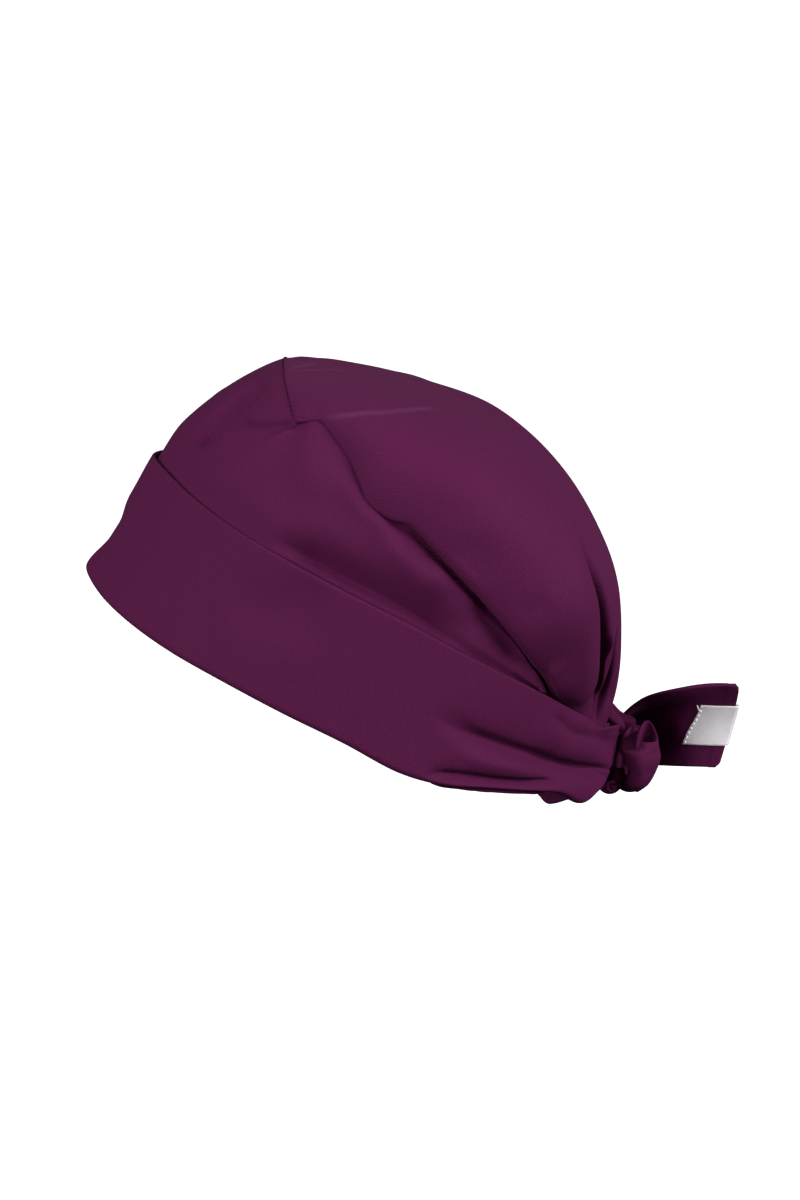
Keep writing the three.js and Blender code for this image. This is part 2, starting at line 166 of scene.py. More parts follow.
sky.links.new(lit.outputs["Background"], mix.inputs[1])
sky.links.new(seen.outputs["Background"], mix.inputs[2])
sky.links.new(mix.outputs["Shader"], sky.nodes["World Output"].inputs["Surface"])

STUDIO_LIGHTS = (
    # name, place, size in metres, watts
    ("upper_light", (0.1, 0.0, 2.2), 1.2, 12),
    ("front_light", (1.6, -1.45, 0.75), 1.2, 53),
    ("back_light", (0.9, 1.9, 0.9), 1.2, 66),
)
for name, place, size, watts in STUDIO_LIGHTS:
    light = bpy.data.objects.new(name, bpy.data.lights.new(name, "AREA"))
    bpy.context.scene.collection.objects.link(light)
    light.data.size = size
    light.data.energy = watts
    light.location = place
    light.rotation_euler = (Vector(place) - CAMERA_AIM).to_track_quat("Z", "Y").to_euler()
bpy.context.scene.view_settings.view_transform = "Standard"


# The cloth: a light plum twill with a soft satin sheen. Its weave follows the cloth's own UV map, in metres
# along the warp and the weft. Along creases its colour is painted paler, a painted highlight where their
# crests would catch the light.
PLUM = (0.064, 0.0068, 0.039)
PLUM_LIGHT = (0.074, 0.0090, 0.046)
# Painted highlight: the paler plum painted along crease crests, where they would catch the light.
PLUM_CREASE_HIGHLIGHT = (0.125, 0.034, 0.095)
TWILL_PITCH = 0.00105
TWILL_SLANT = 0.9


def twill(name, dark, light, highlight_colour):
    finish = Finish(name, roughness=0.7, specular=0.04, sheen=0.012, sheen_tint=(1.0, 0.6, 0.9))
    cloth = finish.node("ShaderNodeUVMap", {"uv_map": "cloth"}, {})
    across = finish.node("ShaderNodeSeparateXYZ", {}, {0: cloth}, output=0)
    along = finish.node("ShaderNodeSeparateXYZ", {}, {0: cloth}, output=1)
    place = finish.node("ShaderNodeTexCoord", {}, {}, output="Object")
    wander = finish.node("ShaderNodeTexNoise", {}, {"Vector": place, "Scale": 90.0, "Detail": 2.0})
    turn = (across + TWILL_SLANT * along) * (2 * math.pi / TWILL_PITCH) + 5.0 * wander
    ribs = finish.node("ShaderNodeMath", {"operation": "SINE"}, {0: turn})
    grain = {"Vector": place, "Scale": 1500.0, "Detail": 2.0, "Roughness": 0.7}
    slub = finish.node("ShaderNodeTexNoise", {}, grain)
    cloud = finish.node("ShaderNodeTexNoise", {}, {"Vector": place, "Scale": 45.0, "Detail": 3.0})
    tone = 0.45 * ribs + 0.9 * slub + 0.5 * cloud - 0.2
    # Painted highlight: along creases the colour is mixed towards the paler plum.
    crease_highlight = finish.node("ShaderNodeAttribute", {"attribute_name": "crease_highlight"}, {}, output="Fac")
    finish.set("Base Color", finish.mix(crease_highlight, finish.mix(tone, dark, light), highlight_colour))
    relief = 0.8 * ribs + 1.2 * slub
    bump = finish.node("ShaderNodeBump", {}, {"Strength": 0.5, "Distance": 0.00012, "Height": relief})
    finish.set("Normal", bump)
    return finish.material


cap_twill = twill("plum_twill", PLUM, PLUM_LIGHT, PLUM_CREASE_HIGHLIGHT)


# Shapes are worked out from tables of sections. A table has named columns and a row for each section, and a
# smooth curve runs through each column. Folds are drawn on a net of points one by one, as lines.
WORN_TILT = math.radians(28)
MM = 0.001
# A line drawn on the side of the cap has this many steps to a place, and each step looks for its closest
# points among every third point of the net.
STEPS_A_PLACE = 5
CLOSEST = 5
NET_STEP = 3
WEIGHT_FLOOR = 0.1
TUCK_WIDTH = 0.6


def table(names, rows):
    return dict(zip(names.split(), np.array(rows, float).T))


def both_sides(names, rows):
    """A table for the wearer's left with its mirror image at negative stations."""
    odd = [name == "at" or name.endswith("X") for name in names.split()]
    beside = [row for row in reversed(rows) if row[0] > 0]
    mirrored = [[-value if o else value for value, o in zip(row, odd)] for row in beside]
    return table(names, mirrored + list(rows))


def along(rows, name, at):
    """The value of one column at each station."""
    x = rows["at"]
    y = rows[name]
    slope = np.gradient(y)
    slope[1:-1] = (y[2:] - y[:-2]) / (x[2:] - x[:-2])
    slope[0] = (y[1] - y[0]) / (x[1] - x[0])
    slope[-1] = (y[-1] - y[-2]) / (x[-1] - x[-2])
    at = np.asarray(at, float)
    k = np.clip(np.searchsorted(x, at, side="right") - 1, 0, len(x) - 2)
    run = x[k + 1] - x[k]
    t = np.clip((at - x[k]) / run, 0, 1)
    rise = t * t * (3 - 2 * t)
    bend = slope[k] * t * (1 - t) ** 2 - slope[k + 1] * t * t * (1 - t)
    return y[k] + (y[k + 1] - y[k]) * rise + bend * run


def point_of(rows, name, at):
    return np.stack([along(rows, name + axis, at) for axis in "XYZ"], axis=-1)


def smooth(value, low, high):
    t = np.clip((value - low) / (high - low), 0, 1)
    return t * t * (3 - 2 * t)


def unit(vectors):
    return vectors / np.maximum(np.linalg.norm(vectors, axis=-1, keepdims=True), 1e-9)


def outward(points):
    """Normals of a net of points whose rows run to the left and whose columns run up or back."""
    return unit(np.cross(np.gradient(points, axis=1), np.gradient(points, axis=0)))


def worn(level):
    """Level millimetres, leaned back as the cap is worn, in metres."""
    x, y, z = np.moveaxis(level, -1, 0)
    back = y * math.cos(WORN_TILT) + z * math.sin(WORN_TILT)
    up = z * math.cos(WORN_TILT) - y * math.sin(WORN_TILT)
    return MM * np.stack([x, back, up], axis=-1)


def onto_side(points, path, at):
    """A path drawn on the side of the cap, moved out to the points of a net that lie beside it."""
    net = points.reshape(-1, 3)[::NET_STEP]
    off = np.sum((net[None, :, 1:] - path[:, None, 1:]) ** 2, axis=-1)
    closest = np.argsort(off, axis=1)[:, :CLOSEST]
    weight = 1 / (np.take_along_axis(off, closest, axis=1) + WEIGHT_FLOOR)
    beside = np.sum(net[:, 0][closest] * weight, axis=1) / np.sum(weight, axis=1)
    return np.stack([np.polyval(np.polyfit(at, beside, 3), at), path[:, 1], path[:, 2]], axis=-1)


def fold(points, normals, line, high, above, below, ease=8.0, crisp=2.0, tuck=0.0):
    """How far a fold moves each point of a net on the wearer's left.

    It is a ridge, or a valley if high is negative, along a line of (back, up) places drawn on the side of
    the cap, or of (left, back, up) places. It is as wide as above and below say, and eases in and out. A
    crisp of 2 gives it a round crest, and 1 a sharp one. The cloth above it slides down over it by tuck, or
    the cloth below it up over it if tuck is negative.
    """
    drawn = len(line[0]) == 2
    knots = table("at X Y Z", [(k, 0, *place) if drawn else (k, *place) for k, place in enumerate(line)])
    at = np.linspace(0, len(line) - 1, STEPS_A_PLACE * len(line))
    path = point_of(knots, "", at)
    if drawn:
        path = onto_side(points, path, at)
    nearest = np.full(points.shape[:-1], np.inf)
    toward = np.zeros(points.shape)
    side = np.zeros(points.shape[:-1])
    reached = np.zeros(points.shape[:-1])
    passed = 0.0
    for start, end in zip(path[:-1], path[1:]):
        run = end - start
        length = np.linalg.norm(run)
        t = np.clip(((points - start) @ run) / length**2, 0, 1)
        off = points - start - t[..., None] * run
        distance = np.linalg.norm(off, axis=-1)
        closer = distance < nearest
        nearest = np.where(closer, distance, nearest)
        toward = np.where(closer[..., None], -off, toward)
        side = np.where(closer, np.sum(np.cross(run, off) * normals, axis=-1), side)
        reached = np.where(closer, passed + t * length, reached)
        passed += length
    width = np.where(side > 0, above, below)
    fade = smooth(reached, 0, ease) * smooth(passed - reached, 0, ease)
    lift = high * np.exp(-((nearest / width) ** crisp)) * fade
    slides = side * tuck > 0
    slide = abs(tuck) * np.exp(-(((nearest - width) / (TUCK_WIDTH * width)) ** 2)) * fade * slides
    return normals * lift[..., None] + toward * (slide / np.maximum(nearest, 0.01))[..., None]


def folded(points, normals, folds, hold):
    """The points of a net after its folds, the same on both sides. hold says how far each point goes."""
    mirror = np.where(points[..., :1] < 0, [-1, 1, 1], [1, 1, 1])
    move = sum(fold(points * mirror, normals * mirror, *shape) for shape in folds)
    return points + move * mirror * hold[..., None]


def cloth_net(name, places, across, up, material, thickness=None, crease_highlight=None):
    """A sheet of cloth over a net of places in metres.

    across and up say where its columns and rows lie on the flat cloth, in mm. A net that closes on itself is
    welded, and one with a thickness gets its second face.
    """
    rows, columns = places.shape[0] - 1, places.shape[1] - 1
    bm = bmesh.new()
    weave = bm.loops.layers.uv.new("cloth")
    highlight_mask = bm.verts.layers.float.new("crease_highlight")
    bmesh.ops.create_grid(bm, x_segments=columns, y_segments=rows, size=0.5)
    for vertex in bm.verts:
        column = round((vertex.co.x + 0.5) * columns)
        row = round((vertex.co.y + 0.5) * rows)
        for loop in vertex.link_loops:
            loop[weave].uv = (across[column] * MM, up[row] * MM)
        # Each point keeps how strongly the painted highlight along creases is mixed into its colour.
        vertex[highlight_mask] = 0.0 if crease_highlight is None else crease_highlight[row, column]
        vertex.co = places[row, column]
    bmesh.ops.remove_doubles(bm, verts=bm.verts, dist=0.01 * MM)
    for face in bm.faces:
        face.smooth = True
    mesh = bpy.data.meshes.new(name)
    bm.to_mesh(mesh)
    bm.free()
    piece = bpy.data.objects.new(name, mesh)
    bpy.context.scene.collection.objects.link(piece)
    mesh.materials.append(material)
    if thickness:
        wall = piece.modifiers.new("cloth", "SOLIDIFY")
        wall.thickness = thickness * MM
        wall.offset = -1
        wall.use_even_offset = False
    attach(piece, "root")
    return piece


def laid_out(points):
    """How far each row of a net lies from its first one, in mm, along its middle column."""
    middle = points[:, points.shape[1] // 2]
    return np.concatenate([[0], np.cumsum(np.linalg.norm(np.diff(middle, axis=0), axis=-1))])


# The turned-up band: one width of cloth that goes down inside, round the rim and up on the outside, with its
# upper edge turned in. Its two ends are gathered into the knot at the nape.
STATION_RUN = 25
RIM_RADIUS = 2.4
EDGE_RADIUS = 0.75
EDGE_HEM = 12
BAND_RETURN = 20
BAND_MIDDLE_Y = 10
BAND_CLOTH = 0.7
FRONT_FLARE = 0.9
FLARE_STATIONS = 1.4
FLARE_FROM = 0.6
SECTION_STEP = 1.5
BAND = both_sides("at rimX rimY rimZ topX topY topZ", [
    [0, 0, -112, 0.8, 0, -108.2, 52.3],
    [1, 24, -104.2, -0.6, 26, -101, 52.9],
    [2, 45, -90.8, -0.6, 46, -88.4, 52.6],
    [3, 61, -72.5, 0, 62, -71, 52.6],
    [4, 71, -50, 1.2, 71.5, -50, 53],
    [5, 76.5, -26, 2.1, 76.5, -26, 53.6],
    [6, 78, -1, 3, 77, -1, 54],
    [7, 77, 23, 2.6, 74, 19, 53.2],
    [8, 73, 43, 6.4, 68, 38, 52.2],
    [9, 64, 61.5, 13, 58.5, 57, 50.7],
    [10, 50, 82, 17.6, 44, 73, 47.8],
    [10.5, 38.5, 94, 16.6, 35.5, 80.5, 46.2],
    [11, 28, 98.8, 21.5, 26, 87, 43.4],
    [11.5, 19, 100.6, 26, 17, 92.5, 44.2],
    [12, 9, 100.6, 31.6, 9, 95.6, 44.2],
])
# Each fold is a line of places on the wearer's left, then its height, its widths above and below, its ease,
# how crisp it is and its tuck. A place is (back, up) as seen from the side, or (left, back, up).
BAND_FOLDS = (
    ([(21, 28.6), (37.3, 26.1), (53.2, 26.3), (69.1, 26.7), (82, 26), (91.8, 26), (104.8, 28), (122, 31)],
     -6.5, 8, 2.4, 30, 1.5, 3.0),
    ([(30.5, 6.5), (46.5, 11.6), (61.5, 15.2), (74, 19.2), (82, 22.5)], -4.4, 3.6, 1.5, 12, 1.4, 1.1),
    ([(36, 18), (52, 20), (66, 22.6), (80, 24)], 1.5, 3, 4, 16, 2),
    ([(34, 3), (50, 8), (64, 12), (80, 17.5), (92, 22.5)], 0.6, 3, 5, 14, 2),
    ([(63, 44), (68, 43), (75.5, 40.6), (82, 40), (90, 39), (108, 37)], -2.2, 3, 2.5, 10, 1.5),
    ([(58, 41), (76, 39.5), (94, 38)], 2.2, 7, 6, 16, 2),
    ([(-66, 27), (-44, 38), (-24, 47)], -1.5, 10, 12, 16, 2),
    ([(0, -112, 4), (0, -111, 15), (0, -110, 34)], -2.2, 16, 16, 12, 2),
)


def band_plain(station, height):
    rim = point_of(BAND, "rim", station)
    top = point_of(BAND, "top", station)
    return rim + (top - rim) * height[..., None]


def band_face(station, height):
    """The outer face of the band, with its folds, at a station and a share of its width."""
    plain = band_plain(station, height)
    away = unit(plain * [1, 1, 0] - [0, BAND_MIDDLE_Y, 0])
    face = folded(plain, away, BAND_FOLDS, smooth(height, 0, 0.06) * smooth(1 - height, 0, 0.1))
    flare = FRONT_FLARE * np.exp(-((station / FLARE_STATIONS) ** 2)) * smooth(height, FLARE_FROM, 1)
    return face + away * flare[..., None]


def band_width(station):
    return np.linalg.norm(point_of(BAND, "top", station) - point_of(BAND, "rim", station), axis=-1)


def band_section():
    """The cloth in section: how far in and how far up it lies, from its return to its turned-in edge."""
    half_turn = np.radians(np.linspace(0, 180, 15))
    inside = [(2 * RIM_RADIUS, 0, rise) for rise in np.linspace(BAND_RETURN, SECTION_STEP, 9)]
    rim = [(RIM_RADIUS + RIM_RADIUS * math.cos(a), 0, -RIM_RADIUS * math.sin(a)) for a in half_turn]
    face = [(0, share, 0) for share in np.linspace(0, 1, 60)[1:-1]]
    top = [(EDGE_RADIUS - EDGE_RADIUS * math.cos(a), 1, EDGE_RADIUS * math.sin(a)) for a in half_turn[::2]]
    hem = [(2 * EDGE_RADIUS, 1, -drop) for drop in np.linspace(SECTION_STEP, EDGE_HEM, 7)]
    return np.array(inside + rim + face + top + hem)


BAND_END = 12
GATHERED_FROM = 8
FACE_ROWS = 90
plain_stations = np.linspace(-GATHERED_FROM, GATHERED_FROM, 241)
end_stations = np.linspace(GATHERED_FROM, BAND_END, 105)
stations = np.concatenate([-end_stations[::-1], plain_stations[1:-1], end_stations])
face = band_face(*np.meshgrid(stations, np.linspace(0, 1, FACE_ROWS)))
normal = outward(face)
section = band_section()
inward, share, extra = section.T
station, row = np.meshgrid(stations, np.arange(len(section)))
width = band_width(station)
height = (RIM_RADIUS + share[row] * (width - RIM_RADIUS - EDGE_RADIUS) + extra[row]) / width
position = np.clip(height, 0, 1) * (FACE_ROWS - 1)
lower = np.minimum(position.astype(int), FACE_ROWS - 2)[..., None]
between = position[..., None] - lower
on_face, out = [
    np.take_along_axis(net, lower, axis=0) * (1 - between)
    + np.take_along_axis(net, lower + 1, axis=0) * between
    for net in (face, normal)
]
level = on_face - unit(out) * inward[row][..., None]
turned_up_band = cloth_net(
    "turned_up_band_cloth", worn(level), stations * STATION_RUN, laid_out(level), cap_twill, BAND_CLOTH
)
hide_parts("turned_up_band")


# The back panel: full cloth over the crown and the back, set into the top seam in small pleats, puffed out
# over the side seams, where its edge rolls under, and gathered at the nape.
SEAM = both_sides("at edgeX edgeY edgeZ", [
    [2, 47, -71, 96.2],
    [2.5, 49.5, -63.2, 101.4],
    [3, 55, -55.5, 98.9],
    [3.5, 60, -48.3, 96],
    [4, 64, -41.4, 91],
    [4.5, 67, -34.5, 85.6],
    [5, 69, -24.5, 84.4],
    [5.4, 70, -16.5, 85.8],
    [6, 71, -2.5, 81.5],
    [7, 71.5, 19, 74],
    [8, 68.5, 40.2, 64.9],
    [9, 57.3, 56.4, 54.2],
    [9.5, 49, 62.6, 47],
    [10, 40, 67, 38.6],
    [10.5, 33, 75, 36.8],
    [11, 25.6, 84.2, 37.5],
    [12, 8.7, 92, 36],
])
SEAM_CORNER = 2
HOOPS = table("at edge midY midZ roll full", [
    [0, 2, -82.1, 106.6, -25, 0],
    [1, 2.6, -66, 113.2, -6, 0.5],
    [2, 3.5, -47, 118.6, 10, 1],
    [3, 4.4, -26, 123.2, 16, 2],
    [4, 5.2, -5, 125.6, 18, 3],
    [5, 6.1, 16, 123, 20, 3],
    [6, 7, 36.6, 115.6, 20, 3],
    [7, 7.8, 55.3, 104, 20, 3],
    [8, 8.5, 69.5, 91.3, 16, 2.5],
    [9, 9.1, 81.3, 72, 6, 1.5],
    [10, 10, 88.3, 56, -4, 0],
    [11, 11.3, 91.6, 41, -6, 0],
])
LAST_HOOP = 11
HALF_HOOP = 95
PANEL_CLOTH = 0.7
# Radius of the roll along the side seam, and of the small one along the top seam.
PUFF = table("at radius", [
    [2, 0.8], [3, 1.1], [4.6, 1.3], [5.6, 3.0], [7.5, 3.6], [8.6, 3.0], [9.6, 2], [11.3, 1.5],
])
SEAM_ROLL = 0.6
# Degrees that the rows of the two rolls have turned.
SEAM_CURL = (125, 90, 55, 25)
EDGE_CURL = np.linspace(22, 165, 7)
BACK_ROWS = 214
BACK_COLUMNS = 187
# The gathers at the back are pressed in from the side.
SIDE_PRESS = 1.2
PRESSED_HOOPS = (6, 8.5)
# Towards the knot the rolled edge ends in a flap that hangs down behind the band.
FLAP = 12
FLAP_STATIONS = (8.3, 9.0)
FLAP_COLUMNS = 4
# Creases that folding has pressed into the crown. The first two are also folds of the cloth, and the cross
# one is
#  only painted. Along all three a paler colour is painted on, a painted highlight where their crests would
#  catch the light.
CROWN_CREASE = [
    (48.9, -64.3, 101), (51, -56.9, 106.6), (48, -45.2, 113.6), (40, -35.3, 118.5), (25, -23.7, 122.9),
]
PLEAT_CREASE = [
    (15.2, -80.7, 106), (15.3, -75.9, 109), (11.8, -69.1, 112), (7.1, -62.5, 114.6), (4.8, -54.5, 117.1),
]
CROSS_HIGHLIGHT_LINE = [(15.2, -80.7, 106), (8.7, -77.2, 108.8), (1.9, -73, 111), (-8, -70, 111.6)]
HIGHLIGHT_STRENGTH = 0.45
CREASE_WIDTH = 1.1
CREASE_EASE = 12
BACK_FOLDS = (
    ([(36, 114), (43.5, 108.2), (50.7, 101), (60.9, 93), (67.2, 82.9), (71.6, 74.4), (75.5, 65.6),
      (79.3, 56.2), (83, 45), (84, 34)], -12, 3.4, 3.0, 46, 1.5, -1.6),
    ([(68, 91), (73.9, 82.6), (76.9, 72.1), (80.2, 63.4), (83.5, 54.2), (85.2, 45), (85.5, 36)],
     -7, 2.0, 2.0, 22, 1.4),
    ([(82, 66), (86, 55.5), (87.5, 47)], -2.4, 3, 2.4, 9, 1.6),
    ([(71, 84), (74.3, 73.3), (77.8, 64.5), (81.5, 54)], 3, 1.5, 1.6, 12, 1.6),
    ([(30, 112), (44, 102), (54, 90), (61, 78), (67, 66), (75, 51)], 1.6, 6, 7, 24, 2),
    (CROWN_CREASE, 0.4, 3, 1.1, 20, 1.3),
    (PLEAT_CREASE, 0.8, 1.1, 3, 6, 1.3),
    ([(2, 96), (10, 88), (20, 80)], -1.0, 8, 8, 10, 2),
    ([(50, 60), (57, 56.5), (64, 54.5), (71, 53.5), (77, 52.5)], 2, 9, 4, 8, 2),
    ([(30, 74), (37, 80), (42, 88)], -0.6, 5, 4, 8, 2),
)


def back_oval(turn, hoop):
    """The panel without folds: turn runs from the right seam, -1, to the left one, 1."""
    roll = np.radians(along(HOOPS, "roll", hoop))
    edge = point_of(SEAM, "edge", along(HOOPS, "edge", hoop))
    middle = np.stack([0 * hoop, along(HOOPS, "midY", hoop), along(HOOPS, "midZ", hoop)], axis=-1)
    rise = (middle - edge) * [0, 1, 1] / (1 + np.sin(roll))[..., None]
    angle = turn * (math.pi / 2 + roll)
    full = 1 + along(HOOPS, "full", hoop) * np.sin(2 * angle) ** 2 / np.linalg.norm(rise, axis=-1)
    point = middle - rise + rise * (np.cos(angle) * full)[..., None]
    point[..., 0] = edge[..., 0] / np.cos(roll) * np.sin(angle) * full
    return point


def rolled_edge(points, normals, ahead, radius, degrees):
    """Rows of points that roll in under the edge of a sheet, away from its normals."""
    arc = np.radians(degrees)[:, None, None]
    reach = radius[None, :, None]
    return points + reach * (np.sin(arc) * ahead - (1 - np.cos(arc)) * normals)


hoops = np.linspace(0, LAST_HOOP, BACK_ROWS)
share, hoop = np.meshgrid(np.linspace(-1, 1, BACK_COLUMNS), hoops)
edge = along(HOOPS, "edge", hoops)
radius = along(PUFF, "radius", edge)
turn = share * (1 - radius / HALF_HOOP)[:, None]
oval = back_oval(turn, hoop)
# The folds fade out at the seams.
hold = smooth(hoop, 0, 0.25) * smooth(1 - np.abs(share), 0, 0.06)
press = SIDE_PRESS * smooth(hoop, *PRESSED_HOOPS)[..., None] * np.sign(oval) * [1, 0, 0]
level = folded(oval, unit(outward(oval) + press), BACK_FOLDS, hold)
# Painted highlight: how strongly a paler colour is painted along each crease line, strongest on the line.
highlight_mask = sum(
    fold(oval, outward(oval), line, 1, CREASE_WIDTH, CREASE_WIDTH, CREASE_EASE)
    for line in (CROWN_CREASE, PLEAT_CREASE, CROSS_HIGHLIGHT_LINE)
)
crease_highlight = HIGHLIGHT_STRENGTH * np.clip(np.linalg.norm(highlight_mask, axis=-1), 0, 1)
seam_radius = np.full(BACK_COLUMNS, SEAM_ROLL)
seam_side = rolled_edge(level[0], outward(level)[0], unit(level[0] - level[1]), seam_radius, SEAM_CURL)
level = np.concatenate([seam_side, level])
crease_highlight, edge, radius = [
    np.pad(values, [(len(SEAM_CURL), 0)] + [(0, 0)] * (values.ndim - 1), mode="edge")
    for values in (crease_highlight, edge, radius)
]
normals = outward(level)
left = rolled_edge(level[:, -1], normals[:, -1], unit(level[:, -1] - level[:, -2]), radius, EDGE_CURL)
right = rolled_edge(level[:, 0], normals[:, 0], unit(level[:, 0] - level[:, 1]), radius, EDGE_CURL[::-1])
hang = np.linspace(0, FLAP, FLAP_COLUMNS + 1)[1:, None, None]
flap = hang * (smooth(edge, *FLAP_STATIONS)[:, None] * [0, 0, -1])
left = np.concatenate([left, left[-1] + flap])
right = np.concatenate([(right[0] + flap)[::-1], right])
level = np.concatenate([right.transpose(1, 0, 2), level, left.transpose(1, 0, 2)], axis=1)
crease_highlight = np.pad(crease_highlight, ((0, 0), (len(right), len(left))))
columns = np.linspace(-HALF_HOOP, HALF_HOOP, level.shape[1])
back_panel = cloth_net(
    "back_panel_cloth", worn(level), columns, laid_out(level), cap_twill, PANEL_CLOTH, crease_highlight
)
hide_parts("back_panel")


# The front panel: smooth cloth over the forehead and the sides. It rises out of the band, is tucked beside
# the corner of the top seam, and hollows under the puffed edge of the back panel.
FRONT_END = 9.15
RIB_PULL = 0.85
IN_BAND = 9
FRONT_INSET = 1.6
END_INSET = 2.5
HEM_INSET = 2.4
END_INSET_STATIONS = (8.8, 9.8)
TURNED_IN_FROM = 8.2
EDGE_LEAN = 0.35
FRONT_ROWS = 96
FRONT_COLUMNS = 361
# How far its upper edge dips under the roll of the back panel, and how far it reaches on behind the roll.
UNDER_PUFF = table("at dip reach", [
    [2, 0.7, 2], [4.6, 0.9, 3], [5.6, 2.5, 6], [7.5, 3.5, 8], [8.6, 5, 6], [9.4, 5, 4],
])
TOP_CURL = (25, 55, 90, 125, 150)
FRONT_FOLDS = (
    ([(17.5, -84, 101), (20, -88, 92.5), (23, -91, 86), (25, -94, 80), (26, -97, 72), (25, -99, 64)],
     -6, 5.5, 5.5, 12, 2),
    ([(14, -87, 99.4), (15.4, -90.7, 93), (15.8, -94.1, 87.4), (14.9, -97.6, 81.9), (12, -101, 75.8)],
     0.8, 3, 3, 8, 2),
    ([(28, -86.4, 85.8), (36, -84, 86.4), (39.2, -81.3, 87.8), (42, -78, 90), (45.4, -73.4, 93.6),
      (48.5, -70, 96.8), (52, -66, 100)], -2.2, 0.9, 7, 8, 1.4, 0.8),
    ([(-70, 84), (-60, 86), (-51, 84), (-42, 80)], 2.4, 8, 9, 14, 2),
    ([(-62, 51), (-49, 54), (-36, 56.5), (-19, 57), (-4, 57), (10, 55.5), (26, 53)], -8, 9, 13, 22, 2),
    ([(-26, 81), (-14, 79), (1, 73.5)], -1.6, 4, 4, 8, 2),
    ([(-49, 89), (-38, 84), (-29, 82), (-20, 78), (-6, 74), (10, 70)], 2.4, 4, 6, 12, 2),
    ([(14, 73), (24, 69), (36, 63), (48, 57)], -3, 4, 5, 12, 2),
)


def seam_point(station):
    share = np.clip(station / SEAM_CORNER, -1, 1)
    across = back_oval(share, 0 * share)
    beside = point_of(SEAM, "edge", station)
    return np.where((np.abs(station) <= SEAM_CORNER)[..., None], across, beside)


def front_rib(station, height):
    """Above the band each rib is an arc that starts along the band and ends on the seam."""
    start = band_plain(station, 1 + 0 * station)
    foot = band_plain(station, 0 * station)
    chord = seam_point(station) - start
    length = np.linalg.norm(chord, axis=-1, keepdims=True)
    leaves = unit(start - foot)
    straight = chord / length
    arrives = 2 * straight * np.sum(straight * leaves, axis=-1, keepdims=True) - leaves
    up = height[..., None]
    pull = RIB_PULL * length * up * (1 - up)
    return start + chord * up * up * (3 - 2 * up) + leaves * pull * (1 - up) - arrives * pull * up


stations = np.linspace(-FRONT_END, FRONT_END, FRONT_COLUMNS)
station, height = np.meshgrid(stations, np.linspace(0, 1, FRONT_ROWS))
rib = front_rib(station, height)
out = outward(rib)
beside = smooth(np.abs(station), SEAM_CORNER - 0.1, SEAM_CORNER + 0.5)
# The folds are weaker at the band, and fade out at the top seam.
hold = (0.4 + 0.6 * smooth(height, 0, 0.15)) * (1 - (1 - beside) * smooth(height, 0.96, 1))
level = folded(rib, out, FRONT_FOLDS, hold)
dip = beside * along(UNDER_PUFF, "dip", np.abs(station))
sunk = FRONT_INSET * (1 - smooth(height, 0.02, 0.3)) + dip * smooth(height, 0.8, 1)
sunk += END_INSET * smooth(np.abs(station), *END_INSET_STATIONS)
level -= out * sunk[..., None]
normals = outward(level)[-1]
ahead = unit(level[-1] - level[-2])
rolled = rolled_edge(level[-1], normals, ahead, np.full(FRONT_COLUMNS, SEAM_ROLL), TOP_CURL)
steps = np.linspace(0.2, 1, len(TOP_CURL))[:, None, None]
reach = along(UNDER_PUFF, "reach", np.abs(stations))[None, :, None] * steps
inwards = smooth(np.abs(stations), TURNED_IN_FROM, FRONT_END)[:, None]
straight = level[-1] + reach * (ahead * (1 - inwards) - (EDGE_LEAN + (1 - EDGE_LEAN) * inwards) * normals)
upper = np.where(beside[:1, :, None] > 0, straight, rolled)
band_edge = band_plain(stations, 1 + 0 * stations)
down = unit(band_plain(stations, 0 * stations) - band_edge)
drop = np.linspace(IN_BAND, 1, 8)[:, None, None]
against = band_edge - out[0] * HEM_INSET
hidden = level[:1] + (against - level[0]) * smooth(drop, 0, IN_BAND) + down * drop
level = np.concatenate([hidden, level, upper])
front_panel = cloth_net(
    "front_panel_cloth", worn(level), stations * STATION_RUN, laid_out(level), cap_twill, PANEL_CLOTH
)
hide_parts("front_panel")


# Lockstitches along the top seam: short dark threads that lie in the groove between the two panels.
STITCH_LENGTH = 1.5
STITCH_PITCH = 2.2
STITCH_RADIUS = 0.26
STITCH_LIFT = 0.15
SEAM_STITCHED = 0.98
# The stitches stand away from this place inside the cap.
UNDER_SEAM = (0, -30, 40)
THREAD_DARK = (0.010, 0.002, 0.007)


def thread(name, colour):
    finish = Finish(name, roughness=0.7, specular=0.05)
    place = finish.node("ShaderNodeTexCoord", {}, {}, output="Object")
    fibre = finish.node("ShaderNodeTexNoise", {}, {"Vector": place, "Scale": 4000.0, "Detail": 1.0})
    finish.set("Base Color", finish.mix(fibre, tuple(0.8 * part for part in colour), colour))
    bump = finish.node("ShaderNodeBump", {}, {"Strength": 0.3, "Distance": 0.00005, "Height": fibre})
    finish.set("Normal", bump)
    return finish.material


